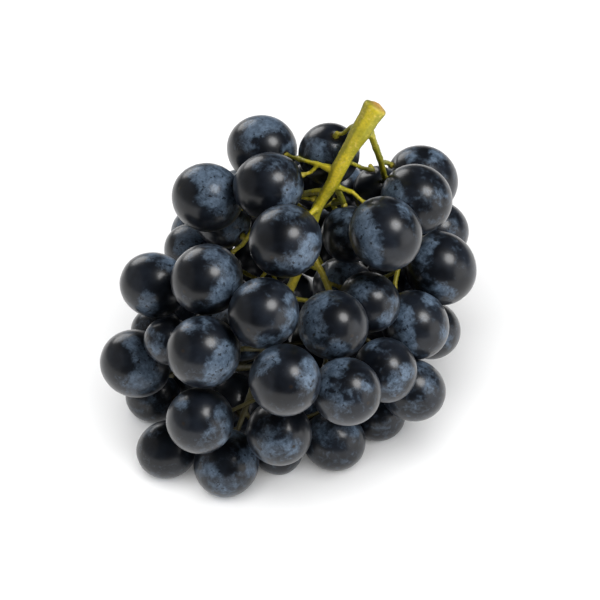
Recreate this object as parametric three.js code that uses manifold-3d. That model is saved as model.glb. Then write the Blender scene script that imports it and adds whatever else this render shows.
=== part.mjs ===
// A bunch of black table grapes lying on a flat surface: one green branching stem, and the grapes on it.
// Millimetres, +Z up. The origin lies on the surface, under the middle of the bunch.

import * as THREE from "three";
import { mergeVertices } from "three/addons/utils/BufferGeometryUtils.js";
import Module from "manifold-3d";

const wasm = await Module();
wasm.setup();

// The view that the seen places were read in: a photo 3 pixels to the millimetre, looking 40 degrees down.
const VIEW_TILT = THREE.MathUtils.degToRad(40);
const PIXELS_PER_MM = 3;
const PHOTO_MIDDLE = { x: 290, y: 300 };
const SIGHT_DISTANCE = 1200;
const RIGHT = new THREE.Vector3(1, 0, 0);
const UP = new THREE.Vector3(0, Math.sin(VIEW_TILT), Math.cos(VIEW_TILT));
const TOWARD = new THREE.Vector3(0, -Math.cos(VIEW_TILT), Math.sin(VIEW_TILT));

// Grapes
const STRETCH = 1.07; // a grape's length over its breadth
const DIMPLE = 0.93; // from the centre to the hollow at the stem end, as a share of the half breadth
const SKIN_GAP = 0.3; // between neighbours
const PRESSED_FLAT = 0.5; // how far a grape that rests on the surface is squashed
const GRAPE_DETAIL = 2;

// Stem
const PEDICEL = 1.5; // diameter of the stalk of one grape
const CARRIED = [1.5, 1.75, 1.95, 2.1, 2.25, 2.4]; // diameter of a twig that carries 1, 2, 3 and more grapes
const RECEPTACLE = 2.8; // diameter of the swelling that a grape sits on
const RECEPTACLE_LENGTH = 2.4;
const SEAT_GAP = 0.6; // from a receptacle's face to the deepest point of its grape's hollow
const STEM_GAP = 0.4; // between the stem and a grape that it passes
const BURIED = 0.5; // how far behind a receptacle's face its stalk ends
const MAIN_SIDES = 8;
const TWIG_SIDES = 5;
const MAIN_STEP = 5; // between the rings of corners along the main stem
const TWIG_STEP = 5.5; // and along a twig
const FLARE = 0.85; // how thick a twig starts, as a share of the wood that it leaves
const FINEST = 0.2; // details of the joined stem below this are dropped
const SMALLEST = 1e-4; // corners closer than this are one

// A point that the photo shows at x, y, and that is `toward` mm nearer to the eye than the bunch's middle.
function seenAt(x, y, toward) {
  const shrink = 1 - toward / SIGHT_DISTANCE;
  return new THREE.Vector3()
    .addScaledVector(RIGHT, ((x - PHOTO_MIDDLE.x) / PIXELS_PER_MM) * shrink)
    .addScaledVector(UP, ((PHOTO_MIDDLE.y - y) / PIXELS_PER_MM) * shrink)
    .addScaledVector(TOWARD, toward);
}

// The grapes that the photo shows. x, y and radius are in its pixels, toward is in mm.
// stem, where given, is the point of the photo that the stalk comes from, and how far toward the eye.
const SEEN = [
  { x: 262, y: 149, radius: 34, toward: -2, stem: [310, 162, 13] },
  { x: 329, y: 154, radius: 30.5, toward: 2, stem: [337, 133, 18] },
  { x: 268.5, y: 186, radius: 33.5, toward: 17, stem: [312, 172, 16] },
  { x: 207.5, y: 197.5, radius: 34.5, toward: 8, stem: [250, 212, -4] },
  { x: 223, y: 221, radius: 27, toward: -11, stem: [248, 240, -6] },
  { x: 285.5, y: 241, radius: 36.5, toward: 30, stem: [314, 206, 10] },
  { x: 349, y: 234, radius: 27.5, toward: 0, stem: [343, 200, 2] },
  { x: 385.5, y: 233.5, radius: 36, toward: 18, stem: [361, 197, 18] },
  { x: 422, y: 180, radius: 34.5, toward: -22, stem: [385, 162, -20] },
  { x: 416.5, y: 199, radius: 34.5, toward: 0, stem: [384, 178, -2] },
  { x: 436, y: 231, radius: 31, toward: -31, stem: [415, 226, -40] },
  { x: 440.5, y: 268, radius: 35.5, toward: -12, stem: [415, 230, -14] },
  { x: 344, y: 288, radius: 30.5, toward: -8, stem: [320, 270, -4] },
  { x: 369, y: 302, radius: 30, toward: 10 },
  { x: 415, y: 325, radius: 33.5, toward: -2, stem: [398, 300, -6] },
  { x: 430, y: 330, radius: 29.3, toward: -23 },
  { x: 385.5, y: 370, radius: 31.5, toward: 14, stem: [370, 337, 6] },
  { x: 333, y: 325, radius: 35, toward: 28 },
  { x: 263.5, y: 313, radius: 35.5, toward: 40, stem: [290, 283, 20] },
  { x: 207, y: 279.5, radius: 35.5, toward: 29, stem: [240, 262, 15] },
  { x: 154, y: 285, radius: 32.5, toward: 8 },
  { x: 191, y: 250, radius: 26, toward: -20 },
  { x: 203.5, y: 352, radius: 36.5, toward: 33 },
  { x: 136, y: 363.5, radius: 34, toward: 2 },
  { x: 153, y: 396, radius: 27, rests: true },
  { x: 157, y: 332, radius: 25, toward: -14 },
  { x: 169, y: 341, radius: 24, toward: 16 },
  { x: 200, y: 420.5, radius: 33.5, toward: 25 },
  { x: 167, y: 449.5, radius: 29, rests: true },
  { x: 226.5, y: 463, radius: 32.5, rests: true },
  { x: 279, y: 433, radius: 32.5, toward: 18 },
  { x: 277, y: 449, radius: 25, rests: true },
  { x: 285, y: 380, radius: 36, toward: 37 },
  { x: 346.5, y: 391.5, radius: 34, toward: 30 },
  { x: 334, y: 441, radius: 30, rests: true },
  { x: 377, y: 414, radius: 27.5, rests: true },
  { x: 413, y: 390, radius: 31, toward: -4 },
  { x: 340, y: 188, radius: 26, toward: -14 },
  { x: 314, y: 184, radius: 24, toward: -6 },
  { x: 378, y: 192, radius: 25, toward: -16, stem: [371, 168, -6] },
];
const FRONT_FOOT = 29; // the grape of that list whose place sets the surface's height
const FRONT_FOOT_TOWARD = 4;

// The grapes behind, where the photo would show them if the front ones were away.
// half is half the breadth of one that is larger than the rest.
const BEHIND = [
  { x: 232, y: 402, toward: -17 },
  { x: 302, y: 398, toward: -21 },
  { x: 192, y: 366, toward: -33 },
  { x: 262, y: 350, toward: -41 },
  { x: 324, y: 342, toward: -43 },
  { x: 388, y: 352, toward: -26 },
  { x: 175, y: 293, toward: -34 },
  { x: 228, y: 290, toward: -47 },
  { x: 290, y: 288, toward: -57 },
  { x: 345, y: 292, toward: -54 },
  { x: 395, y: 286, toward: -36 },
  { x: 208, y: 236, toward: -42 },
  { x: 258, y: 264, toward: -46 },
  { x: 321, y: 257, toward: -52, half: 12.2 },
  { x: 380, y: 240, toward: -50 },
  { x: 252, y: 199, toward: -31 },
  { x: 299, y: 193, toward: -38 },
  { x: 350, y: 212, toward: -41 },
  { x: 240, y: 330, toward: -15 },
];
const BEHIND_HALF = 11; // half the breadth of one of them
const BEHIND_VARIES = 0.5;

// The middle line of the main stem, from its cut end to its tip.
// Each point has the photo's x and y, how many mm it is toward the eye, and the diameter in mm.
const MAIN_STEM = [
  [375.5, 107, 29.2, 7.7],
  [370.5, 115, 28.5, 7.0],
  [364, 126, 27, 7.2],
  [356, 139, 25, 6.2],
  [348, 152, 23, 5.2],
  [340.5, 165, 21, 5.2],
  [334, 180, 19, 4.4],
  [326, 193, 17, 3.9],
  [318, 206, 15, 3.5],
  [313, 222, 12, 3.4],
  [309, 240, 8, 3.4],
  [302, 262, 4, 3.3],
  [292, 285, 2, 3.2],
  [277, 320, 1, 3.0],
  [263, 355, 0, 2.8],
  [252, 390, -2, 2.4],
  [243, 415, -4, 2.0],
];

// The twigs that the photo shows, each from where it leaves the wood. grape is its place in the list above.
const SEEN_TWIGS = [
  { points: [[364, 126, 27], [354, 126, 25], [346, 131, 21], [340, 135, 17]], grape: 1 },
  { points: [[365, 127, 27], [371, 135, 24], [374, 143, 20], [377, 151, 15], [381, 162, 8]], grape: null },
  { points: [[381, 162, 8], [386, 163, 0], [389, 163, -8]], grape: 8 },
  { points: [[381, 162, 8], [383, 170, 4], [385, 177, 1]], grape: 9 },
  { points: [[337, 172, 20], [327, 167, 20], [318, 165, 18]], grape: null },
  { points: [[318, 165, 18], [309, 162, 17], [302, 160, 13]], grape: 0 },
  { points: [[318, 165, 18], [313, 170, 17], [307, 176, 17]], grape: 2 },
  { points: [[325, 193, 17], [313, 192, 13], [304, 194, 8], [292, 197, 0]], grape: null },
  { points: [[332, 180, 19], [336, 187, 16], [340, 195, 9], [343, 201, 4]], grape: 6 },
  { points: [[336, 187, 16], [344, 193, 17], [351, 192, 18], [358, 195, 18], [363, 199, 18]], grape: 7 },
  { points: [[345, 157, 22], [353, 164, 15], [363, 168, 5], [375, 169, -6]], grape: 39 },
];

// The point of the segment ab that is nearest to p.
function nearestOnSegment(p, a, b) {
  return new THREE.Line3(a, b).closestPointToPoint(p, true, new THREE.Vector3());
}

// Half of a grape's size from its centre along a unit direction.
function reach(grape, direction) {
  const along = direction.dot(grape.axis);
  const across = 1 - along * along;
  return 1 / Math.sqrt(across / grape.half ** 2 + (along * along) / (grape.half * STRETCH) ** 2);
}

function seenGrapes() {
  return SEEN.map(({ x, y, radius, toward = 0, stem, rests = false }) => {
    const shrink = 1 - toward / SIGHT_DISTANCE;
    const stalk = stem ? seenAt(...stem) : null;
    const half = (radius / PIXELS_PER_MM) * shrink;
    return { seen: { x, y, toward }, stalk, rests, half, at: seenAt(x, y, toward) };
  });
}

function grapesBehind() {
  return BEHIND.map((place, k) => {
    const half = place.half ?? BEHIND_HALF + BEHIND_VARIES * Math.sin(2 * k);
    const at = seenAt(place.x, place.y, place.toward);
    return { seen: null, stalk: null, rests: false, half, at, home: at.clone() };
  });
}

const mainStem = MAIN_STEM.map(([x, y, toward, diameter]) => ({ at: seenAt(x, y, toward), diameter }));
const FIRST_INSIDE = 9; // the first point of the main stem among the grapes

function nearestInnerStem(p) {
  let best = null;
  for (let i = FIRST_INSIDE + 1; i < mainStem.length; i++) {
    const at = nearestOnSegment(p, mainStem[i - 1].at, mainStem[i].at);
    if (!best || at.distanceTo(p) < best.distanceTo(p)) best = at;
  }
  return best;
}

function aim(grape) {
  grape.axis = (grape.stalk ?? nearestInnerStem(grape.at)).clone().sub(grape.at).normalize();
}

// Moves grapes out of each other, out of the stem and above the surface.
// A grape that the photo shows moves along its line of sight.
function settle(grapes, surface) {
  const ROUNDS = 900;
  const HELD_ROUNDS = 600;
  const HOLD = 0.03;
  const SIDEWAYS = 0.12;
  const BACK_TO_SIGHT = 0.25;
  const REST_WITHIN = 2.5;
  const move = (grape, step) => {
    if (!grape.seen) {
      grape.at.add(step);
      return;
    }
    const along = TOWARD.clone().multiplyScalar(step.dot(TOWARD));
    grape.at.add(along).addScaledVector(step.clone().sub(along), SIDEWAYS);
  };
  for (let round = 0; round < ROUNDS; round++) {
    for (const grape of grapes) {
      aim(grape);
      if (round >= HELD_ROUNDS) continue;
      if (!grape.seen) {
        grape.at.lerp(grape.home, HOLD);
      } else if (!grape.rests) {
        grape.at.addScaledVector(TOWARD, HOLD * (grape.seen.toward - grape.at.dot(TOWARD)));
      }
    }
    for (let i = 0; i < grapes.length; i++) {
      for (let j = i + 1; j < grapes.length; j++) {
        const between = grapes[j].at.clone().sub(grapes[i].at);
        const distance = between.length();
        between.normalize();
        const needed = reach(grapes[i], between) + reach(grapes[j], between) + SKIN_GAP;
        if (distance >= needed) continue;
        const push = (needed - distance) / 2;
        move(grapes[i], between.clone().multiplyScalar(-push));
        move(grapes[j], between.multiplyScalar(push));
      }
    }
    for (const grape of grapes) {
      for (let i = 1; i < mainStem.length; i++) {
        const wood = nearestOnSegment(grape.at, mainStem[i - 1].at, mainStem[i].at);
        const away = grape.at.clone().sub(wood);
        const needed = reach(grape, away.clone().normalize()) + mainStem[i].diameter / 2 + 2 * STEM_GAP;
        if (away.length() < needed) move(grape, away.setLength(needed - away.length()));
      }
      const lowest = surface + grape.half - PRESSED_FLAT;
      if (grape.rests) {
        grape.at.addScaledVector(TOWARD, (lowest - grape.at.z) / TOWARD.z);
      } else if (grape.at.z < lowest || (!grape.seen && grape.at.z < lowest + REST_WITHIN)) {
        grape.at.z += (lowest - grape.at.z) / 2;
      }
      if (grape.seen) {
        const toward = grape.at.dot(TOWARD);
        grape.at.lerp(seenAt(grape.seen.x, grape.seen.y, toward), BACK_TO_SIGHT);
      }
    }
  }
}

const grapes = [...seenGrapes(), ...grapesBehind()];
const frontFoot = grapes[FRONT_FOOT];
frontFoot.at.copy(seenAt(frontFoot.seen.x, frontFoot.seen.y, FRONT_FOOT_TOWARD));
const surface = frontFoot.at.z - frontFoot.half + PRESSED_FLAT;
settle(grapes, surface);
grapes.forEach(aim);

// The stem as a tree of points. Each point knows its parent, and twigs branch off at any point.
const POINT_STEP = 1.6;
const tree = [];

// Adds points along a smooth line through the given ones, from a parent that is already there.
function grow(parent, places, options = {}) {
  const through = parent === null ? places : [tree[parent].at, ...places];
  const line = new THREE.CatmullRomCurve3(through, false, "centripetal");
  const steps = Math.max(2, Math.round(line.getLength() / POINT_STEP));
  let last = parent;
  for (let i = parent === null ? 0 : 1; i <= steps; i++) {
    tree.push({ at: line.getPointAt(i / steps), parent: last, ...options });
    last = tree.length - 1;
  }
  return last;
}

function nearestTreePoint(p) {
  let best = 0;
  tree.forEach((point, i) => {
    if (point.at.distanceTo(p) < tree[best].at.distanceTo(p)) best = i;
  });
  return best;
}

// The middle of the receptacle's face at a grape's stem end.
function seat(grape, beyond = 0) {
  return grape.at.clone().addScaledVector(grape.axis, grape.half * DIMPLE + SEAT_GAP + beyond);
}

// Free ways between the grapes, on a grid. A way is found from a grape's stem end to the nearest wood.
const CELL = 0.9;
const WAY_WIDTH = 1.1; // from a way's middle to the nearest skin
const DETOUR = 5; // how much longer than the shortest way to any wood a way may be
const ALONG_WOOD = 0.35; // what a mm of wood back to the cut end costs, beside a mm of new twig
const STALK_END = 3.2; // the straight stretch of a stalk in front of its receptacle
const GRID_MARGIN = 14; // how far the grid reaches past the middles of the outer grapes

function makeGrid() {
  const box = new THREE.Box3();
  grapes.forEach((grape) => box.expandByPoint(grape.at));
  box.expandByScalar(GRID_MARGIN);
  const size = box.getSize(new THREE.Vector3());
  const count = [size.x, size.y, size.z].map((length) => Math.ceil(length / CELL) + 1);
  const blocked = new Uint8Array(count[0] * count[1] * count[2]);
  const place = (i, j, k) => new THREE.Vector3(i, j, k).multiplyScalar(CELL).add(box.min);
  const index = (i, j, k) => i + count[0] * (j + count[1] * k);
  const cellOf = (p) => p.clone().sub(box.min).divideScalar(CELL).round();
  for (const grape of grapes) {
    const far = grape.half * STRETCH + WAY_WIDTH;
    const from = cellOf(grape.at.clone().subScalar(far));
    const to = cellOf(grape.at.clone().addScalar(far));
    for (let k = Math.max(0, from.z); k <= Math.min(count[2] - 1, to.z); k++) {
      for (let j = Math.max(0, from.y); j <= Math.min(count[1] - 1, to.y); j++) {
        for (let i = Math.max(0, from.x); i <= Math.min(count[0] - 1, to.x); i++) {
          const away = place(i, j, k).sub(grape.at);
          const distance = away.length();
          if (distance < reach(grape, away.normalize()) + WAY_WIDTH) blocked[index(i, j, k)] = 1;
        }
      }
    }
  }
  return { count, blocked, place, index, cellOf };
}

const NEIGHBOURS = [];
for (let i = -1; i <= 1; i++) {
  for (let j = -1; j <= 1; j++) {
    for (let k = -1; k <= 1; k++) {
      if (i || j || k) NEIGHBOURS.push([i, j, k, Math.hypot(i, j, k) * CELL]);
    }
  }
}

function addToHeap(heap, item) {
  let i = heap.push(item) - 1;
  while (i > 0) {
    const up = (i - 1) >> 1;
    if (heap[up].cost <= item.cost) break;
    heap[i] = heap[up];
    i = up;
  }
  heap[i] = item;
}

function takeLeast(heap) {
  const least = heap[0];
  const item = heap.pop();
  if (!heap.length) return least;
  let i = 0;
  while (2 * i + 1 < heap.length) {
    let down = 2 * i + 1;
    if (down + 1 < heap.length && heap[down + 1].cost < heap[down].cost) down++;
    if (heap[down].cost >= item.cost) break;
    heap[i] = heap[down];
    i = down;
  }
  heap[i] = item;
  return least;
}

// The cheapest way from a grape's stem end to wood that is already there: the places on it, wood first.
function findWay(grid, grape) {
  const { count, blocked, place, index, cellOf } = grid;
  const wood = new Map();
  tree.forEach((point, i) => {
    const { x, y, z } = cellOf(point.at);
    wood.set(index(x, y, z), i);
  });
  const cost = new Float32Array(blocked.length).fill(Infinity);
  const cameFrom = new Int32Array(blocked.length).fill(-1);
  const done = new Uint8Array(blocked.length);
  const start = cellOf(seat(grape, STALK_END));
  const heap = [{ cost: 0, i: start.x, j: start.y, k: start.z }];
  cost[index(start.x, start.y, start.z)] = 0;
  let best = { cost: Infinity, reached: Infinity };
  while (heap.length && heap[0].cost < Math.min(best.cost, best.reached + DETOUR)) {
    const here = takeLeast(heap);
    const key = index(here.i, here.j, here.k);
    if (done[key]) continue;
    done[key] = 1;
    if (wood.has(key)) {
      const total = here.cost + ALONG_WOOD * tree[wood.get(key)].fromCut;
      if (total < best.cost) best = { cost: total, reached: Math.min(best.reached, here.cost), key };
    }
    for (const [di, dj, dk, length] of NEIGHBOURS) {
      const i = here.i + di;
      const j = here.j + dj;
      const k = here.k + dk;
      if (i < 0 || j < 0 || k < 0 || i >= count[0] || j >= count[1] || k >= count[2]) continue;
      const next = index(i, j, k);
      const total = here.cost + length;
      if (done[next] || total >= cost[next] || (blocked[next] && !wood.has(next))) continue;
      cost[next] = total;
      cameFrom[next] = key;
      addToHeap(heap, { cost: total, i, j, k });
    }
  }
  const places = [];
  for (let key = cameFrom[best.key]; key >= 0; key = cameFrom[key]) {
    const layer = count[0] * count[1];
    places.push(place(key % count[0], Math.floor((key % layer) / count[0]), Math.floor(key / layer)));
  }
  return { parent: wood.get(best.key), places };
}

// Grows the stem: the main stem, the twigs that the photo shows, and then a way to every other grape.
const main = grow(null, mainStem.map((point) => point.at), { held: true });
const fromCutEnd = [0];
for (let i = 1; i < mainStem.length; i++) {
  fromCutEnd.push(fromCutEnd[i - 1] + mainStem[i - 1].at.distanceTo(mainStem[i].at));
}
for (let i = 0; i <= main; i++) {
  const length = (i / main) * fromCutEnd.at(-1);
  const after = Math.max(1, fromCutEnd.findIndex((far) => far >= length - SMALLEST));
  const share = THREE.MathUtils.inverseLerp(fromCutEnd[after - 1], fromCutEnd[after], length);
  tree[i].diameter = THREE.MathUtils.lerp(mainStem[after - 1].diameter, mainStem[after].diameter, share);
}

function growToSeat(parent, places, grape, options) {
  const end = grow(parent, [...places, seat(grape, STALK_END), seat(grape, RECEPTACLE_LENGTH)], options);
  tree.push({ at: seat(grape, BURIED), parent: end, held: true, grape });
  tree[end].held = true;
  grape.stalked = true;
}

for (const { points, grape } of SEEN_TWIGS) {
  const [start, ...places] = points.map((point) => seenAt(...point));
  const parent = nearestTreePoint(start);
  if (grape === null) grow(parent, places, { drawn: true });
  else growToSeat(parent, places, grapes[grape], { drawn: true });
}

const grid = makeGrid();
const toWood = (grape) => tree[nearestTreePoint(seat(grape))].at.distanceTo(seat(grape));
const waiting = grapes.filter((grape) => !grape.stalked).map((grape) => ({ grape, far: toWood(grape) }));
waiting.sort((a, b) => a.far - b.far);
for (const { grape } of waiting) {
  for (const point of tree) {
    const parent = tree[point.parent];
    point.fromCut = parent ? parent.fromCut + parent.at.distanceTo(point.at) : 0;
  }
  const { parent, places } = findWay(grid, grape);
  growToSeat(parent, places.slice(1, -1), grape, {});
}

// How many grapes each point of the stem carries, and its thickest branch.
for (const point of tree) {
  point.carries = 0;
  point.children = [];
}
for (let i = tree.length - 1; i > 0; i--) {
  if (tree[i].grape) tree[i].carries = 1;
  tree[tree[i].parent].carries += tree[i].carries;
  tree[tree[i].parent].children.push(i);
}
for (const point of tree) {
  point.diameter ??= CARRIED[Math.min(point.carries, CARRIED.length) - 1] ?? PEDICEL;
  point.children.sort((a, b) => tree[b].carries - tree[a].carries || a - b);
}

// Takes the corners out of the twigs, and keeps them clear of the grapes that they pass.
function smooth() {
  const ROUNDS = 60;
  const EASE = 0.5;
  const NEAR = 1.3; // a point further out than this many half breadths can't touch a grape
  for (let round = 0; round < ROUNDS; round++) {
    tree.forEach((point) => {
      if (point.held || point.parent === null) return;
      if (!point.drawn && point.children.length) {
        const middle = tree[point.parent].at.clone().add(tree[point.children[0]].at).multiplyScalar(0.5);
        point.at.lerp(middle, EASE);
      }
      const needed = point.diameter / 2 + STEM_GAP;
      for (const grape of grapes) {
        const away = point.at.clone().sub(grape.at);
        const distance = away.length();
        if (distance > NEAR * grape.half) continue;
        const short = reach(grape, away.normalize()) + needed - distance;
        if (short <= 0) continue;
        if (point.drawn) point.at.addScaledVector(TOWARD, Math.sign(away.dot(TOWARD)) * short);
        else point.at.addScaledVector(away, short);
      }
    });
  }
}
smooth();

// Solids
function toSolid(shape) {
  shape.deleteAttribute("normal");
  shape.deleteAttribute("uv");
  const merged = mergeVertices(shape, SMALLEST);
  return new wasm.Manifold(
    new wasm.Mesh({
      numProp: 3,
      vertProperties: new Float32Array(merged.attributes.position.array),
      triVerts: new Uint32Array(merged.index.array),
    }),
  );
}

function toShape(solid) {
  const { vertProperties, triVerts, numProp } = solid.getMesh();
  const shape = new THREE.BufferGeometry();
  const positions = [];
  for (let i = 0; i < vertProperties.length; i += numProp) positions.push(...vertProperties.slice(i, i + 3));
  shape.setAttribute("position", new THREE.Float32BufferAttribute(positions, 3));
  shape.setIndex([...triVerts]);
  return shape;
}

// A round bar along a curve, with a ring of corners at each of the given places, each with its own radius.
function bar(curve, radii, sides) {
  const steps = radii.length - 1;
  const { normals, binormals } = curve.computeFrenetFrames(steps, false);
  const shape = new THREE.CylinderGeometry(1, 1, 1, sides, steps);
  const corners = shape.attributes.position;
  for (let i = 0; i < corners.count; i++) {
    const step = Math.round((corners.getY(i) + 0.5) * steps);
    const at = curve
      .getPointAt(step / steps)
      .addScaledVector(normals[step], corners.getX(i) * radii[step])
      .addScaledVector(binormals[step], -corners.getZ(i) * radii[step]);
    corners.setXYZ(i, at.x, at.y, at.z);
  }
  return toSolid(shape);
}

// The points of one limb, from where it leaves its parent out to its end along the thickest branches.
function limbFrom(first) {
  const points = tree[first].parent === null ? [] : [tree[tree[first].parent]];
  const branches = [];
  for (let i = first; i !== undefined; i = tree[i].children[0]) {
    points.push(tree[i]);
    branches.push(...tree[i].children.slice(1));
  }
  return { points, branches };
}

function limb(points) {
  const curve = new THREE.CatmullRomCurve3(points.map((point) => point.at), false, "centripetal");
  const isMain = points[0].parent === null;
  const steps = Math.max(2, Math.round(curve.getLength() / (isMain ? MAIN_STEP : TWIG_STEP)));
  const own = isMain ? points : points.slice(1);
  const radii = Array.from({ length: steps + 1 }, (_, i) => {
    const u = (i / steps) * (own.length - 1);
    const before = Math.min(Math.floor(u), Math.max(0, own.length - 2));
    const after = Math.min(before + 1, own.length - 1);
    return THREE.MathUtils.lerp(own[before].diameter, own[after].diameter, u - before) / 2;
  });
  if (!isMain) radii[0] = Math.max(radii[0], (FLARE * points[0].diameter) / 2);
  return bar(curve, radii, isMain ? MAIN_SIDES : TWIG_SIDES);
}

// The swelling at the end of a stalk, with its flat face toward the grape.
function receptacle(grape) {
  const profile = [
    new THREE.Vector2(0, 0),
    new THREE.Vector2(RECEPTACLE / 2, 0),
    new THREE.Vector2(PEDICEL / 2, RECEPTACLE_LENGTH),
    new THREE.Vector2(0, RECEPTACLE_LENGTH),
  ];
  const shape = new THREE.LatheGeometry(profile, TWIG_SIDES);
  const turn = new THREE.Quaternion().setFromUnitVectors(new THREE.Vector3(0, 1, 0), grape.axis);
  const at = seat(grape);
  shape.applyMatrix4(new THREE.Matrix4().compose(at, turn, new THREE.Vector3(1, 1, 1)));
  return toSolid(shape);
}

function stem() {
  const solids = [];
  const starts = [0];
  while (starts.length) {
    const { points, branches } = limbFrom(starts.pop());
    solids.push(limb(points));
    starts.push(...branches);
  }
  solids.push(...grapes.map(receptacle));
  const pieces = wasm.Manifold.union(solids).simplify(FINEST).decompose();
  // The largest piece is the stem without the small hollows that crossing twigs enclose.
  return pieces.reduce((a, b) => (b.volume() > a.volume() ? b : a));
}

// A grape: a ball of even facets with one corner at the hollow of its stem end, stretched along its axis.
function grapeSolid(grape) {
  const shape = new THREE.IcosahedronGeometry(1, GRAPE_DETAIL);
  const corner = new THREE.Vector3(-1, (1 + Math.sqrt(5)) / 2, 0).normalize();
  const stemEnd = new THREE.Vector3(0, 0, 1);
  shape.applyQuaternion(new THREE.Quaternion().setFromUnitVectors(corner, stemEnd));
  const corners = shape.attributes.position;
  for (let i = 0; i < corners.count; i++) {
    if (corners.getZ(i) > 1 - SMALLEST) corners.setXYZ(i, 0, 0, DIMPLE / STRETCH);
  }
  shape.scale(grape.half, grape.half, grape.half * STRETCH);
  shape.applyQuaternion(new THREE.Quaternion().setFromUnitVectors(stemEnd, grape.axis));
  const solid = toSolid(shape);
  const depth = 2 * PRESSED_FLAT;
  const below = new THREE.BoxGeometry(4 * grape.half, 4 * grape.half, depth);
  below.translate(0, 0, surface - grape.at.z - depth / 2);
  return solid.subtract(toSolid(below));
}

const bunch = new THREE.Group();
function add(name, solid, material, at) {
  const mesh = new THREE.Mesh(toShape(solid), material);
  mesh.name = name;
  if (at) mesh.position.copy(at);
  bunch.add(mesh);
}

const wood = new THREE.MeshStandardMaterial({ color: 0x9c9a3a, roughness: 0.6, metalness: 0 });
const skin = new THREE.MeshStandardMaterial({ color: 0x1d2230, roughness: 0.45, metalness: 0 });
add("stem", stem(), wood);
grapes.forEach((grape, i) => {
  const number = String(i + 1).padStart(2, "0");
  add(`grape_${number}`, grapeSolid(grape), skin, grape.at);
});

const extent = new THREE.Box3().setFromObject(bunch, true);
const middle = extent.getCenter(new THREE.Vector3());
bunch.position.set(-middle.x, -middle.y, -surface);

export default bunch;
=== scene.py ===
"""A bunch of black table grapes with a grey-blue bloom, lying on a pale floor under soft studio light.

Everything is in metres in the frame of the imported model, but for the stem's shape, which is made in mm.
"""

import math

import bpy
import numpy as np
from mathutils import Matrix, Vector, noise


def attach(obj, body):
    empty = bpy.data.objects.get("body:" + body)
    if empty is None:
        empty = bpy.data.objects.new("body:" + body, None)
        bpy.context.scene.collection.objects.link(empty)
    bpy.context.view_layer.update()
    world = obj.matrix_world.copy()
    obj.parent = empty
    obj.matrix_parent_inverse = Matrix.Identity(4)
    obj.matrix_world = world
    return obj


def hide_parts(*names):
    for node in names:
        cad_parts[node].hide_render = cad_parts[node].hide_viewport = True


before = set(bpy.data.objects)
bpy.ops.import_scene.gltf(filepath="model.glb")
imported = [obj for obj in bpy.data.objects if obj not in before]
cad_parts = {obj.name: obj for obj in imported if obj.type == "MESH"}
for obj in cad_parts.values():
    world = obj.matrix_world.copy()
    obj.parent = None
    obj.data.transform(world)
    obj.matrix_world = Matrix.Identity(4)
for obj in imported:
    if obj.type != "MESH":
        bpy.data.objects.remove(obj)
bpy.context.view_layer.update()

MM = 0.001

# The view of the photo: 3 of its pixels to the millimetre, looking 40 degrees down.
PHOTO_SIZE = 600
PIXELS_PER_MM = 3
PHOTO_MIDDLE = (290, 300)
VIEW_TILT = math.radians(40)
SIGHT_DISTANCE = 1.2
LOOKED_AT = Vector((0.140, -1.722, 49.245)) * MM  # the middle that the bunch is measured from
RIGHT = Vector((1, 0, 0))
UP = Vector((0, math.sin(VIEW_TILT), math.cos(VIEW_TILT)))
TOWARD = Vector((0, -math.cos(VIEW_TILT), math.sin(VIEW_TILT)))
SENSOR = 36  # mm wide

# Light
FLOOR_WIDTH = 6
FLOOR_WHITE = 0.8
SKY_STRENGTH = 0.04  # of the light that it gives
BACKDROP_STRENGTH = 0.9  # of the same sky where it is seen
FAR_FLOOR = (0.3, 1.5)  # between these distances the floor turns as bright as the backdrop
# A lamp has its direction (to the right, up and toward the eye, as the photo is seen), its distance from
# the bunch, its width, its power in watts and what it shines on.
LAMPS = {
    "key": ((0.48, 0.48, 0.73), 1.0, 0.5, 9.0, "bunch"),
    "side": ((0.93, -0.12, 0.35), 1.0, 0.9, 4.0, "bunch"),
    "card": ((-0.97, 0.10, 0.26), 1.0, 1.7, 2.7, "bunch"),
    "back": ((-0.45, 0.80, -0.40), 1.0, 0.6, 4.0, "bunch"),
    "front": ((0.0, 0.36, 0.93), 1.2, 2.4, 56.0, "floor"),
}

# Colours
WHITE = (1, 1, 1, 1)
SKIN = ((0.0018, 0.0024, 0.0042, 1), (0.0042, 0.0045, 0.0075, 1))
BLOOM = ((0.075, 0.112, 0.165, 1), (0.13, 0.185, 0.26, 1))
SCAR_BROWN = (0.018, 0.012, 0.008, 1)
HOLLOW_BROWN = (0.035, 0.022, 0.012, 1)
SHEEN_BLUE = (0.8, 0.88, 1.0, 1)
BARK = ((0.44, 0.39, 0.009, 1), (0.74, 0.58, 0.022, 1))
FIBRE_GREEN = (0.24, 0.23, 0.008, 1)
# painted shade: darker green on the stem where it turns away from the eye
EDGE_SHADE_GREEN = (0.15, 0.17, 0.006, 1)
SPECK_TAN = (0.72, 0.56, 0.12, 1)
RECEPTACLE_BROWN = (0.20, 0.17, 0.03, 1)
# painted shade on the wood low and deep in the bunch
INNER_SHADE = (0.03, 0.025, 0.005, 1)
PITH_ORANGE = ((0.46, 0.24, 0.05, 1), (0.60, 0.37, 0.11, 1))

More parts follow.
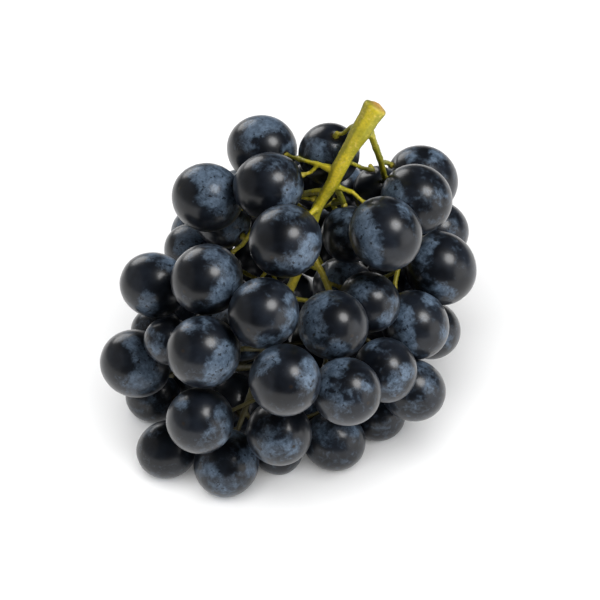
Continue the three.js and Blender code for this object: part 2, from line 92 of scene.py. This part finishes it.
# Noise of the materials, with its scale per mm, and the values of it between which something starts and is full
SKIN_CLOUD = {"scale": 0.11, "detail": 2}
RAGGED = {"scale": 0.42, "detail": 6, "roughness": 0.62, "distortion": 0.3}
MOTTLE = {"scale": 0.9, "detail": 4, "roughness": 0.6, "distortion": 0.4}
SPOTS = {"scale": 0.62, "detail": 2, "roughness": 0.5}
GRAIN = {"scale": 4.5, "detail": 2}
RAGGEDNESS = 1.3  # how far the ragged noise moves the edge of a patch of bloom
PATCH_EDGE = (-0.06, 0.82)
SPOT_EDGE = (0.31, 0.40)
SPOT_BLOOM = 0.15  # what a bare spot keeps of its bloom
MOTTLE_EDGE = (0.32, 0.62)
MOTTLE_BLOOM = (0.6, 1.05)  # from thin to thick
FILM_EDGE = (0.35, 0.7)
FILM = (0.01, 0.07)  # thin bloom of the bare skin
SKIN_ROUGHNESS = (0.33, 0.6)  # bare and full of bloom
FULL_BLOOM = 0.8
EVEN_EDGE = (0.3, 0.7)
SOFT_EDGE = (0.35, 0.65)
BARK_CLOUD = {"scale": 0.16, "detail": 3}
FIBRE = {"scale": 1.3, "detail": 4}
SPECKS = {"scale": 1.0, "detail": 1}
FIBRE_EDGE = (0.35, 0.75)
FIBRE_SHARE = 0.45
SPECK_EDGE = (0.60, 0.68)
SPECK_SHARE = 0.5
BARK_EDGE = (0.2, 0.8)
BARK_ROUGHNESS = (0.42, 0.6)

# Grapes
STRETCH = 1.07  # a grape's length over its breadth
AROUND = 72  # points on a ring of the skin
ALONG = 50  # rings from the stem end to the far end
POLE_CROWDING = 0.45  # how much closer the rings lie near the two ends
HOLLOW_DEPTH = 0.113  # of the stem end, as a share of the half breadth
HOLLOW_RADIUS = 2.0625 * MM
HOLLOW_STAIN = (1.1 * MM, 2.2 * MM)  # the hollow's brown ends between these radii
SCAR_RADIUS = 0.55 * MM
SCAR_RISE = 0.1 * MM
SCAR_STAIN = (0.275 * MM, 0.825 * MM)
SCAR_DIMPLE_RADIUS = 1.6 * MM
SCAR_DIMPLE_DEPTH = 0.12 * MM
LUMP_SHARE = 0.007  # of a grape's size
LUMP_SCALE = 1.3
NOISE_STEPS = (3.7, 1.3, 7.1)  # from one grape to the next, so that no two are alike
ON_FLOOR = 0.01 * MM  # packed corners lower than this belong to a grape's flat
FIT_ROUNDS = 30

# Bloom of the sides that the photo doesn't show. It is thick in drifts on the outside of the bunch. The sides
# turned into the bunch are left bare and dark: painted shade in the gaps between grapes.
INSIDE_SHADE_LEVEL = -0.1
DRIFT_LEVEL = 0.4
DRIFT_SWING = 0.8
DRIFT_SCALE = 1.1
OUTSIDE = (-0.3, 0.5)  # cosines of the skin's turn away from the bunch's middle, from painted shade inside the bunch to outside
SHOWN = (-0.15, 0.2)  # cosines of its turn toward the photo's eye, from hidden to shown

# Bloom that the photo shows on each grape. A patch has the x and y of its middle and its radius, in the
# photo's pixels, and its strength. A strength below 0 is a patch that is rubbed bare.
BARE_LEVEL = 0.02
PATCHES = {
    1: [(250, 130, 12, 0.8), (262, 122, 12, 0.6), (275, 125, 12, 0.6), (248, 150, 12, 0.3),
        (291, 150, 8, 0.9), (238, 128, 6, -1.0), (238, 163, 10, -1.0), (272, 141, 10, -0.5),
        (254, 140, 4, -0.6)],
    2: [(316, 145, 9, 0.6), (318, 158, 7, 0.6), (338, 150, 10, 0.3), (325, 132, 6, -0.8)],
    3: [(292, 190, 9, 0.9), (285, 205, 8, 0.6), (256, 167, 5, 0.5), (275, 160, 12, 0.3),
        (254, 188, 14, -0.9), (262, 206, 12, -1.0)],
    4: [(198, 176, 10, 0.9), (215, 175, 12, 0.7), (232, 185, 12, 0.7), (225, 206, 12, 0.8),
        (205, 198, 12, 0.5), (187, 189, 9, -0.8), (192, 219, 12, -0.9)],
    5: [(237, 228, 9, 1.2), (229, 232, 6, 0.9), (208, 234, 12, -1.0)],
    6: [(312, 240, 7, 1.0), (308, 252, 8, 1.0), (299, 262, 9, 0.8), (270, 212, 10, 0.4),
        (290, 210, 10, 0.4), (280, 262, 10, 0.3), (315, 248, 3, -0.7), (313, 228, 3, -0.8),
        (267, 240, 14, -0.7)],
    7: [(336, 210, 8, 0.8), (348, 218, 6, 0.9), (342, 232, 5, 0.7), (326, 235, 7, -0.6)],
    8: [(362, 225, 10, 0.9), (370, 240, 11, 1.0), (374, 253, 8, 1.0), (379, 262, 4, 0.8),
        (362, 211, 7, 0.8), (403, 208, 9, 0.5), (388, 214, 7, -1.0), (352, 243, 6, -0.7),
        (395, 246, 12, -0.6), (415, 246, 3, -0.7)],
    9: [(410, 155, 7, 0.8), (436, 155, 9, 0.7), (401, 162, 5, -0.6), (424, 152, 4, -0.6)],
    10: [(396, 192, 10, 0.9), (385, 191, 6, 0.7), (410, 181, 7, -0.9), (440, 195, 9, 0.3)],
    11: [(436, 215, 8, 0.7), (455, 228, 9, 0.2)],
    12: [(430, 245, 8, 1.0), (421, 256, 8, 0.6), (440, 289, 7, 0.8), (450, 293, 6, 0.7),
         (426, 276, 7, 0.3), (440, 251, 5, -1.0), (442, 270, 9, -0.7), (464, 285, 9, -0.3)],
    13: [(330, 273, 8, 0.8), (345, 268, 8, 0.7), (335, 283, 7, 0.5), (340, 271, 3, -0.8),
         (331, 262, 3, -0.6)],
    14: [(362, 287, 9, 0.9), (385, 318, 8, 0.8), (394, 302, 5, 0.5), (375, 309, 8, -0.9),
         (371, 327, 5, -0.6)],
    15: [(405, 315, 9, 1.0), (408, 335, 9, 0.8), (412, 348, 6, 0.7), (430, 299, 7, 0.9),
         (444, 333, 6, 0.5), (417, 305, 5, -0.9), (425, 337, 8, -0.7)],
    16: [(446, 340, 6, 0.5)],
    17: [(370, 344, 8, 1.0), (405, 372, 8, 0.7), (394, 386, 11, 0.5), (369, 357, 7, -0.8),
         (403, 351, 7, -1.0)],
    18: [(308, 312, 12, 1.0), (310, 334, 12, 0.9), (324, 300, 9, 0.8), (338, 348, 9, 0.8),
         (325, 353, 6, 0.5), (332, 315, 6, -1.3), (345, 329, 9, -0.7), (357, 318, 10, -0.5)],
    19: [(245, 288, 7, 0.8), (255, 283, 6, 0.7), (289, 298, 5, 0.8), (291, 315, 7, 0.8),
         (286, 330, 6, 0.7), (262, 342, 7, 0.8), (275, 340, 5, 0.6), (250, 284, 2, -0.8),
         (250, 313, 14, -0.7)],
    20: [(228, 282, 9, 1.0), (216, 296, 9, 0.9), (212, 254, 8, 0.6), (225, 262, 8, 0.6),
         (189, 258, 6, 0.4), (187, 273, 12, -0.8), (203, 290, 7, -0.7), (222, 309, 7, -0.6)],
    21: [(150, 257, 10, 0.5), (171, 262, 8, 0.8), (150, 300, 10, 0.8), (146, 306, 8, 0.5),
         (133, 280, 12, -0.7), (149, 268, 7, -0.7), (165, 293, 9, -1.0), (155, 285, 5, -0.6)],
    22: [(184, 242, 9, 1.1), (192, 232, 8, 0.9), (180, 250, 6, 0.8), (200, 238, 6, 0.5),
         (170, 243, 5, -0.8)],
    23: [(222, 362, 13, 1.0), (225, 347, 7, 0.8), (212, 375, 9, 0.9), (187, 327, 7, 1.0),
         (205, 322, 10, 0.4), (180, 345, 12, -0.9), (197, 355, 8, -0.8), (222, 332, 6, -0.4)],
    24: [(130, 342, 9, 0.9), (140, 355, 8, 0.9), (148, 365, 7, 0.7), (135, 382, 12, 0.7),
         (150, 376, 9, 0.7), (124, 366, 6, -1.0), (115, 353, 12, -0.8), (145, 334, 7, -0.7)],
    25: [(147, 405, 12, 0.2)],
    26: [(140, 322, 8, 0.2)],
    27: [(150, 330, 5, 0.7), (156, 349, 6, 0.9), (160, 336, 5, 0.5), (160, 325, 7, -0.7)],
    28: [(182, 402, 7, 0.7), (221, 412, 7, 0.8), (227, 426, 6, 0.6), (206, 434, 13, 0.3),
         (224, 441, 5, 0.7), (203, 394, 12, -0.7), (194, 427, 8, -0.8), (178, 425, 10, -0.4)],
    29: [(151, 430, 7, 0.5), (165, 468, 14, 0.1), (166, 451, 10, -1.0)],
    30: [(208, 470, 9, 0.7), (248, 455, 9, 0.9), (250, 470, 7, 0.8), (233, 432, 9, 0.5),
         (224, 484, 14, 0.5), (243, 467, 3, -1.0), (243, 445, 3, -0.8), (213, 455, 3, -0.8),
         (225, 470, 6, -0.6)],
    31: [(268, 448, 11, 0.6), (291, 446, 10, 0.6), (267, 430, 8, 0.3), (304, 428, 7, -1.0)],
    32: [(275, 468, 12, 0.1)],
    33: [(270, 358, 9, 1.0), (262, 372, 6, 0.7), (308, 362, 6, 0.9), (306, 380, 10, 0.7),
         (313, 374, 6, 0.7), (292, 352, 8, -1.1), (272, 385, 13, -0.7), (288, 384, 7, -0.6)],
    34: [(330, 367, 10, 0.9), (326, 386, 8, 0.8), (346, 362, 8, 0.6), (341, 402, 12, 0.5),
         (366, 386, 8, 0.5), (333, 380, 3, -1.0), (331, 390, 3, -0.9), (353, 366, 5, -0.8),
         (347, 398, 3, -0.7)],
    35: [(320, 432, 10, 0.5), (354, 430, 7, 0.7), (338, 450, 14, 0.1)],
    36: [(385, 425, 10, 0.2)],
    37: [(424, 365, 8, 0.5), (430, 384, 7, 0.5), (415, 405, 12, 0.2)],
    # Grape 38's bright patch at 357, 176 is a painted highlight streak; the bare patches of grapes 38 to 40,
    # behind the main stem, are painted shade.
    38: [(357, 176, 6, 1.2), (348, 190, 8, -0.6)],
    39: [(314, 184, 14, -0.8)],
    40: [(372, 185, 12, -0.9)],
}

# Stem. A place is the photo's x and y and how many mm it is toward the eye.
STEM_VOXEL = 0.28  # mm
WELD_DISTANCE = 0.002  # mm
STEM_SMOOTHING = {"rounds": 30, "push": 0.6, "pull": -0.61}
END_SMOOTHING = {"rounds": 12, "push": 0.5, "pull": 0.0}
ROUNDED_END = 5  # mm from the cut
END_FADE = 1.6  # the rounding is full up to 0.6 of that distance and gone at 1.6 of it
CUT_END = (375.5, 107, 29.2)
CUT_NEXT = (370.5, 115, 28.5)
PITH = (378.5, 105.5, 30)
PITH_RADIUS = 2.6 * MM
PITH_FADE = 1.5  # the pith is full up to 0.5 of its radius and gone at 1.5 of it
PITH_DEPTH = 2 * MM
CUT_TURN = (0.05, 0.45)  # the wood's turn toward the cut, as a cosine, from bark to pith
EDGE_SHADE_TURN = (0.92, 0.32)  # its turn toward the eye, from plain bark to painted shade: darker green where the stem turns away
EDGE_SHADE_SHARE = 0.85
SHADE_TOP = 26 * MM  # up from the middle, as seen: below it the wood is darkened with painted shade, deeper in the bunch
SHADE_FADE = 34 * MM
INNER_SHADE_SHARE = 0.96
BARK_RELIEF = ((0.9, 0.10), (2.1, 0.05))  # scale of the noise and its rise in mm
BARK_GROWTH = 0.03  # mm that make up for the smoothing
RECEPTACLE = (1.0 * MM, 2.2 * MM)  # radius around the seat and the width of its fade
RECEPTACLE_SHARE = 0.6
# Swellings of the wood: place, radius in mm and rise in mm
KNUCKLES = [
    (375, 108, 29, 3.0, 0.25),
    (376, 106, 29.5, 2.2, 1.30),
    (366, 130, 26, 3.2, 0.30),
    (354, 127, 25, 1.5, 0.15),
    (338, 169, 21, 2.6, 0.35),
    (334, 187, 18, 2.2, 0.30),
    (345, 160, 22, 1.6, 0.20),
    (316, 161, 19, 0.5, 0.45),
    (299, 159, 13, 0.8, 0.35),
    (376, 147, 17, 0.4, 0.25),
    (380, 158, 10, 0.5, 0.20),
    (351, 191, 18, 0.4, 0.20),
    (318, 208, 15, 1.4, 0.30),
]
KNUCKLE_SPREAD = 1  # mm that a knuckle fades out beyond its radius


def view_place(x, y, toward):
    """The point that the photo shows at x, y and that is toward mm nearer to the eye than the middle."""
    shrink = 1 - toward * MM / SIGHT_DISTANCE
    across = (x - PHOTO_MIDDLE[0]) / PIXELS_PER_MM * MM * shrink
    upward = (PHOTO_MIDDLE[1] - y) / PIXELS_PER_MM * MM * shrink
    return LOOKED_AT + RIGHT * across + UP * upward + TOWARD * toward * MM


def photo_place(place):
    """The photo's x and y of a point."""
    away = place - LOOKED_AT
    spread = PIXELS_PER_MM / MM / (1 - away.dot(TOWARD) / SIGHT_DISTANCE)
    return PHOTO_MIDDLE[0] + away.dot(RIGHT) * spread, PHOTO_MIDDLE[1] - away.dot(UP) * spread


def make_camera():
    data = bpy.data.cameras.new("camera")
    camera = bpy.data.objects.new("camera", data)
    bpy.context.scene.collection.objects.link(camera)
    camera.location = LOOKED_AT + TOWARD * SIGHT_DISTANCE
    camera.rotation_euler = (math.pi / 2 - VIEW_TILT, 0, 0)
    data.sensor_width = SENSOR
    data.lens = SENSOR * SIGHT_DISTANCE / (PHOTO_SIZE / PIXELS_PER_MM * MM)
    data.shift_x = (PHOTO_SIZE / 2 - PHOTO_MIDDLE[0]) / PHOTO_SIZE
    bpy.context.scene.camera = camera


def new_material(name):
    """An empty node material with its Principled shader, and a function that adds a node to it."""
    material = bpy.data.materials.new(name)
    material.use_nodes = True
    tree = material.node_tree
    tree.nodes.clear()

    def add(kind, inputs=(), **settings):
        node = tree.nodes.new("ShaderNode" + kind)
        for key, value in settings.items():
            setattr(node, key, value)
        for key, value in dict(inputs).items():
            if isinstance(value, bpy.types.NodeSocket):
                tree.links.new(value, node.inputs[key])
            else:
                node.inputs[key].default_value = value
        return node

    shader = add("BsdfPrincipled")
    output = add("OutputMaterial")
    tree.links.new(shader.outputs[0], output.inputs[0])

    def feed(key, value):
        if isinstance(value, bpy.types.NodeSocket):
            tree.links.new(value, shader.inputs[key])
        else:
            shader.inputs[key].default_value = value

    return material, add, feed


def math_node(add, operation, a, b, c=0.0):
    return add("Math", {0: a, 1: b, 2: c}, operation=operation).outputs[0]


def ramp(add, value, low, high, to_low=0.0, to_high=1.0):
    """value from low to high becomes to_low to to_high, with a soft start and end."""
    inputs = {0: value, 1: low, 2: high, 3: to_low, 4: to_high}
    return add("MapRange", inputs, interpolation_type="SMOOTHSTEP").outputs[0]


def mix_colours(add, share, a, b):
    return add("Mix", {0: share, 6: a, 7: b}, data_type="RGBA").outputs[2]


def place_in_mm(add):
    """The place on a piece in mm. The noise of a material has its scale per mm."""
    where = add("TexCoord").outputs["Object"]
    return add("VectorMath", {0: where, "Scale": 1 / MM}, operation="SCALE").outputs[0]


def noise_of(add, where, scale, detail, roughness=0.55, distortion=0.0):
    shape = {"Scale": scale, "Detail": detail, "Roughness": roughness, "Distortion": distortion}
    return add("TexNoise", {"Vector": where, **shape}).outputs[0]


def grape_skin():
    material, add, feed = new_material("grape_skin")
    where = place_in_mm(add)
    # bloom, and painted shade: bare dark skin where the grape turns into the bunch
    bloom_and_shade = add("Attribute", attribute_name="bloom_and_shade").outputs["Fac"]
    scar = add("Attribute", attribute_name="scar").outputs["Fac"]
    hollow = add("Attribute", attribute_name="hollow").outputs["Fac"]

    ragged = noise_of(add, where, **RAGGED)
    mottle = noise_of(add, where, **MOTTLE)
    spots = noise_of(add, where, **SPOTS)
    grain = noise_of(add, where, **GRAIN)
    cloud = noise_of(add, where, **SKIN_CLOUD)

    fray = math_node(add, "MULTIPLY_ADD", ragged, RAGGEDNESS, -RAGGEDNESS / 2)
    patch = ramp(add, math_node(add, "ADD", bloom_and_shade, fray), *PATCH_EDGE)
    unspotted = ramp(add, spots, *SPOT_EDGE, SPOT_BLOOM, 1.0)
    thickness = ramp(add, mottle, *MOTTLE_EDGE, *MOTTLE_BLOOM)
    dusted = math_node(add, "MULTIPLY", patch, math_node(add, "MULTIPLY", unspotted, thickness))
    covered = math_node(add, "MAXIMUM", dusted, ramp(add, cloud, *FILM_EDGE, *FILM))

    skin = mix_colours(add, ramp(add, cloud, *EVEN_EDGE), *SKIN)
    dust = mix_colours(add, ramp(add, ragged, *SOFT_EDGE), *BLOOM)
    colour = mix_colours(add, covered, skin, dust)
    colour = mix_colours(add, scar, colour, SCAR_BROWN)
    colour = mix_colours(add, hollow, colour, HOLLOW_BROWN)
    feed("Base Color", colour)

    feed("Roughness", ramp(add, covered, 0.0, FULL_BLOOM, *SKIN_ROUGHNESS))
    feed("IOR", 1.3)
    feed("Coat Weight", 0.4)
    feed("Coat Roughness", 0.2)
    feed("Coat IOR", 1.4)
    feed("Sheen Weight", 0.25)
    feed("Sheen Roughness", 0.09)
    feed("Sheen Tint", SHEEN_BLUE)

    relief = math_node(add, "MULTIPLY_ADD", grain, 0.3, dusted)
    bump = add("Bump", {"Strength": 0.25, "Distance": 0.04 * MM, "Height": relief}).outputs[0]
    feed("Normal", bump)
    return material


def green_stem():
    material, add, feed = new_material("green_stem")
    where = place_in_mm(add)
    cut = add("Attribute", attribute_name="cut").outputs["Fac"]
    swelling = add("Attribute", attribute_name="swelling").outputs["Fac"]
    edge_shade = add("Attribute", attribute_name="edge_shade").outputs["Fac"]
    inner_shade = add("Attribute", attribute_name="inner_shade").outputs["Fac"]

    cloud = noise_of(add, where, **BARK_CLOUD)
    fibre = noise_of(add, where, **FIBRE)
    specks = noise_of(add, where, **SPECKS)

    colour = mix_colours(add, ramp(add, cloud, *EVEN_EDGE), *BARK)
    colour = mix_colours(add, ramp(add, fibre, *FIBRE_EDGE, 0.0, FIBRE_SHARE), colour, FIBRE_GREEN)
    # painted shade on the stem's edges: darker green where the bark turns away from the eye
    colour = mix_colours(add, edge_shade, colour, EDGE_SHADE_GREEN)
    colour = mix_colours(add, ramp(add, specks, *SPECK_EDGE, 0.0, SPECK_SHARE), colour, SPECK_TAN)
    colour = mix_colours(add, swelling, colour, RECEPTACLE_BROWN)
    # painted shade: the wood darkens low in the bunch
    colour = mix_colours(add, inner_shade, colour, INNER_SHADE)
    pith = mix_colours(add, ramp(add, fibre, *SOFT_EDGE), *PITH_ORANGE)
    colour = mix_colours(add, cut, colour, pith)
    feed("Base Color", colour)
    feed("Roughness", ramp(add, fibre, *BARK_EDGE, *BARK_ROUGHNESS))
    bump = add("Bump", {"Strength": 0.35, "Distance": 0.12 * MM, "Height": fibre}).outputs[0]
    feed("Normal", bump)
    return material


def corners_of(name):
    """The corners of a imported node, each once."""
    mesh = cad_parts[name].data
    places = np.empty(len(mesh.vertices) * 3, np.float32)
    mesh.vertices.foreach_get("co", places)
    return np.unique(places.reshape(-1, 3).round(7), axis=0).astype(float)


def fit_grape(name):
    """Finds the middle, the axis toward the stem and the half breadth of a packed grape."""
    corners = corners_of(name)
    free = corners[corners[:, 2] > ON_FLOOR]
    plain = np.column_stack([2 * free, np.ones(len(free))])
    middle = np.linalg.lstsq(plain, (free**2).sum(1), rcond=None)[0][:3]
    from_middle = np.linalg.norm(free - middle, axis=1)
    hollow = from_middle.argmin()
    axis = (free[hollow] - middle) / from_middle[hollow]
    half = from_middle.mean() / STRETCH**0.5
    around = np.delete(free, hollow, axis=0)
    squeeze = 1 - 1 / STRETCH**2
    for _ in range(FIT_ROUNDS):
        away = around - middle
        along = away @ axis
        miss = (away**2).sum(1) - squeeze * along**2 - half**2
        by_middle = -2 * away + 2 * squeeze * along[:, None] * axis
        by_axis = -2 * squeeze * along[:, None] * away
        slopes = np.column_stack([by_middle, by_axis, np.full(len(around), -2 * half)])
        step = np.linalg.lstsq(slopes, -miss, rcond=None)[0]
        middle = middle + step[:3]
        axis = axis + step[3:6]
        axis = axis / np.linalg.norm(axis)
        half = half + step[6]
    return Vector(middle), Vector(axis), float(half)


def mesh_object(name, places, faces, material, smooth=True):
    mesh = bpy.data.meshes.new(name)
    mesh.from_pydata(places, [], faces)
    mesh.validate()
    mesh.polygons.foreach_set("use_smooth", [smooth] * len(mesh.polygons))
    mesh.materials.append(material)
    piece = bpy.data.objects.new(name, mesh)
    bpy.context.scene.collection.objects.link(piece)
    return piece


def paint(piece, name, values):
    """Keeps a value at each point of a piece for its material."""
    layer = piece.data.attributes.new(name, "FLOAT", "POINT")
    layer.data.foreach_set("value", np.asarray(values, np.float32))


def grape_directions():
    """Unit directions of the rings from the stem end to the far end, and the faces between them."""
    directions = [(0.0, 0.0)]
    for ring in range(1, ALONG):
        share = ring / ALONG
        polar = math.pi * share - POLE_CROWDING * math.sin(2 * math.pi * share) / 2
        directions += [(polar, 2 * math.pi * k / AROUND) for k in range(AROUND)]
    directions.append((math.pi, 0.0))
    last = len(directions) - 1
    faces = []
    for k in range(AROUND):
        after = (k + 1) % AROUND
        faces.append((0, 1 + k, 1 + after))
        for ring in range(ALONG - 2):
            start = 1 + ring * AROUND
            faces.append((start + k, start + AROUND + k, start + AROUND + after, start + after))
        start = 1 + (ALONG - 2) * AROUND
        faces.append((start + k, last, start + after))
    return directions, faces


DIRECTIONS, GRAPE_FACES = grape_directions()


def soft_step(value, low, high):
    """0 up to low and 1 from high on, with a soft rise between them."""
    share = min(max((value - low) / (high - low), 0), 1)
    return share * share * (3 - 2 * share)


def hill(away, radius):
    """The height of a round hill of height 1 at a distance from its top."""
    return math.exp(-((away / radius) ** 2))


def bloom_shown(number, place):
    """How much bloom the photo shows at a point of a grape."""
    x, y = photo_place(place)
    level = BARE_LEVEL
    for middle_x, middle_y, radius, strength in PATCHES[number]:
        level += strength * hill(math.hypot(x - middle_x, y - middle_y), radius)
    return level


def make_grape(number, middle, axis, half, bunch_middle, material):
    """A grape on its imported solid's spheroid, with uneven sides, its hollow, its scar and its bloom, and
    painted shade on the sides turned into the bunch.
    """
    across = axis.orthogonal().normalized()
    side = axis.cross(across)
    seed = Vector([number * step for step in NOISE_STEPS])
    places, bloom_and_shade, scar, hollow = [], [], [], []
    for polar, turn in DIRECTIONS:
        spoke = across * math.cos(turn) + side * math.sin(turn)
        out = spoke * math.sin(polar) + axis * math.cos(polar)
        lump = 1 + LUMP_SHARE * noise.noise(out * LUMP_SCALE + seed)
        ring = spoke * (half * math.sin(polar) * lump)
        height = half * STRETCH * math.cos(polar) * lump
        from_axis = half * math.sin(polar)
        if polar < math.pi / 2:
            height -= HOLLOW_DEPTH * half * hill(from_axis, HOLLOW_RADIUS)
            scar.append(0.0)
            hollow.append(1 - soft_step(from_axis, *HOLLOW_STAIN))
        else:
            height += SCAR_DIMPLE_DEPTH * hill(from_axis, SCAR_DIMPLE_RADIUS)
            height -= SCAR_RISE * hill(from_axis, SCAR_RADIUS)
            scar.append(1 - soft_step(from_axis, *SCAR_STAIN))
            hollow.append(0.0)
        place = middle + ring + axis * height
        place.z = max(place.z, 0.0)
        places.append(place)
        # Painted shade: skin turned into the bunch keeps no bloom, so the gaps between grapes stay dark.
        outside = soft_step(out.dot((place - bunch_middle).normalized()), *OUTSIDE)
        drift = DRIFT_LEVEL + DRIFT_SWING * noise.noise(out * DRIFT_SCALE + seed * 2)
        level = INSIDE_SHADE_LEVEL + outside * drift
        if number in PATCHES:
            shown = soft_step(out.dot(TOWARD), *SHOWN)
            level += shown * (bloom_shown(number, place) - level)
        bloom_and_shade.append(level)
    piece = mesh_object(f"fine_grape_{number:02d}", places, GRAPE_FACES, material)
    paint(piece, "bloom_and_shade", bloom_and_shade)
    paint(piece, "scar", scar)
    paint(piece, "hollow", hollow)
    return piece


def share_between(values, start, end):
    """0 at start and 1 at end, straight between them."""
    return np.clip((values - start) / (end - start), 0, 1)


def edges_of(mesh):
    """The two points of each edge."""
    pairs = np.empty(len(mesh.edges) * 2, np.int32)
    mesh.edges.foreach_get("vertices", pairs)
    return pairs.reshape(-1, 2)


def even_out(places, pairs, rounds, push, pull):
    """Smooths places along the edges: each round moves them by push and then by pull, which may be back."""
    count = np.bincount(pairs.ravel(), minlength=len(places))[:, None]
    for _ in range(rounds):
        for share in (push, pull):
            total = np.zeros_like(places)
            for axis in range(3):
                total[:, axis] += np.bincount(pairs[:, 0], places[pairs[:, 1], axis], len(places))
                total[:, axis] += np.bincount(pairs[:, 1], places[pairs[:, 0], axis], len(places))
            places = places + share * (total / count - places)
    return places


def bark_relief(place):
    return sum(rise * noise.noise(place * scale) for scale, rise in BARK_RELIEF)


def make_stem(seats, material):
    """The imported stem, remeshed finely and rounded, with knuckles and bark relief."""
    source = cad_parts["stem"].data
    mesh = source.copy()
    mesh.transform(Matrix.Scale(1 / MM, 4))
    piece = bpy.data.objects.new("fine_stem", mesh)
    bpy.context.scene.collection.objects.link(piece)
    weld = piece.modifiers.new("weld", "WELD")
    weld.merge_threshold = WELD_DISTANCE
    remesh = piece.modifiers.new("remesh", "REMESH")
    remesh.mode = "VOXEL"
    remesh.voxel_size = STEM_VOXEL
    fine = bpy.data.meshes.new_from_object(piece.evaluated_get(bpy.context.evaluated_depsgraph_get()))
    piece.modifiers.clear()
    piece.data = fine
    places = np.empty(len(fine.vertices) * 3, np.float32)
    fine.vertices.foreach_get("co", places)
    pairs = edges_of(fine)
    places = even_out(places.reshape(-1, 3).astype(float), pairs, **STEM_SMOOTHING)
    cut_end = view_place(*CUT_END)
    from_cut = np.linalg.norm(places - np.array(cut_end) / MM, axis=1)[:, None]
    worn = even_out(places, pairs, **END_SMOOTHING)
    places += np.clip(END_FADE - from_cut / ROUNDED_END, 0, 1) * (worn - places)
    fine.vertices.foreach_set("co", places.astype(np.float32).ravel())
    fine.update()
    normals = np.empty(len(fine.vertices) * 3, np.float32)
    fine.vertices.foreach_get("normal", normals)
    normals = normals.reshape(-1, 3)
    height = np.array([bark_relief(Vector(place)) for place in places])
    for x, y, toward, radius, rise in KNUCKLES:
        away = np.linalg.norm(places - np.array(view_place(x, y, toward)) / MM, axis=1)
        height += rise * np.exp(-((away / (radius + KNUCKLE_SPREAD)) ** 2))
    places = (places + normals * (height[:, None] + BARK_GROWTH)) * MM
    fine.vertices.foreach_set("co", places.astype(np.float32).ravel())
    fine.polygons.foreach_set("use_smooth", [True] * len(fine.polygons))
    fine.update()
    fine.materials.clear()
    fine.materials.append(material)

    end_way = np.array((cut_end - view_place(*CUT_NEXT)).normalized())
    from_pith = places - np.array(view_place(*PITH))
    along = from_pith @ end_way
    from_axis = np.linalg.norm(from_pith - along[:, None] * end_way, axis=1)
    pith = np.clip(PITH_FADE - from_axis / PITH_RADIUS, 0, 1) * (along > -PITH_DEPTH)
    paint(piece, "cut", pith * share_between(normals @ end_way, *CUT_TURN))
    # painted shade: darker green bark where the stem turns away from the eye
    paint(piece, "edge_shade", EDGE_SHADE_SHARE * share_between(normals @ np.array(TOWARD), *EDGE_SHADE_TURN))
    # painted shade: the wood is darkened below a height in the bunch
    height_shown = (places - np.array(LOOKED_AT)) @ np.array(UP)
    paint(piece, "inner_shade", INNER_SHADE_SHARE * share_between(height_shown, SHADE_TOP, SHADE_TOP - SHADE_FADE))
    from_seat = np.min([np.linalg.norm(places - np.array(seat), axis=1) for seat in seats], axis=0)
    radius, fade = RECEPTACLE
    paint(piece, "swelling", RECEPTACLE_SHARE * share_between(from_seat, radius + fade, radius))
    return piece


def make_floor():
    """A plain white floor that turns into the backdrop far away."""
    half = FLOOR_WIDTH / 2
    corners = [(-half, -half, 0), (half, -half, 0), (half, half, 0), (-half, half, 0)]
    material, add, feed = new_material("floor_white")
    feed("Base Color", (FLOOR_WHITE, FLOOR_WHITE, FLOOR_WHITE, 1))
    feed("Roughness", 0.9)
    feed("Specular IOR Level", 0.0)
    away = add("VectorMath", {0: add("TexCoord").outputs["Object"]}, operation="LENGTH").outputs["Value"]
    glow = ramp(add, away, *FAR_FLOOR, 0.0, BACKDROP_STRENGTH)
    feed("Emission Color", WHITE)
    feed("Emission Strength", math_node(add, "MULTIPLY", glow, add("LightPath").outputs["Is Camera Ray"]))
    floor = mesh_object("floor", corners, [(0, 1, 2, 3)], material, smooth=False)
    return floor


def make_light(lit):
    """The pale backdrop and the studio's lamps. lit holds the collections that they shine on."""
    scene = bpy.context.scene
    world = bpy.data.worlds.new("studio")
    world.use_nodes = True
    nodes = world.node_tree.nodes
    sky = nodes["Background"]
    sky.inputs["Color"].default_value = WHITE
    seen = nodes.new("ShaderNodeLightPath").outputs["Is Camera Ray"]
    strength = nodes.new("ShaderNodeMapRange")
    strength.inputs["To Min"].default_value = SKY_STRENGTH
    strength.inputs["To Max"].default_value = BACKDROP_STRENGTH
    world.node_tree.links.new(seen, strength.inputs["Value"])
    world.node_tree.links.new(strength.outputs[0], sky.inputs["Strength"])
    scene.world = world
    scene.view_settings.view_transform = "Standard"
    for name, (direction, distance, width, power, lights) in LAMPS.items():
        data = bpy.data.lights.new(name, "AREA")
        data.shape = "DISK"
        data.size = width
        data.energy = power
        light = bpy.data.objects.new(name, data)
        scene.collection.objects.link(light)
        right, upward, toward = direction
        way = (RIGHT * right + UP * upward + TOWARD * toward).normalized()
        light.location = LOOKED_AT + way * distance
        light.rotation_mode = "QUATERNION"
        light.rotation_quaternion = way.to_track_quat("Z", "Y")
        light.light_linking.receiver_collection = lit[lights]
        light.visible_camera = False


def main():
    make_camera()
    lit = {name: bpy.data.collections.new(f"lit_{name}") for name in ("bunch", "floor")}
    lit["floor"].objects.link(make_floor())
    make_light(lit)
    skin = grape_skin()
    bark = green_stem()
    names = sorted(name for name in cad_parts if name.startswith("grape_"))
    fits = [fit_grape(name) for name in names]
    bunch_middle = sum((middle for middle, _, _ in fits), Vector()) / len(fits)
    for number, (name, (middle, axis, half)) in enumerate(zip(names, fits), start=1):
        piece = make_grape(number, middle, axis, half, bunch_middle, skin)
        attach(piece, "root")
        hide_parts(name)
        lit["bunch"].objects.link(piece)
    seats = [middle + axis * half for middle, axis, half in fits]
    stem = make_stem(seats, bark)
    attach(stem, "root")
    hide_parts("stem")
    lit["bunch"].objects.link(stem)


main()
bpy.context.view_layer.update()
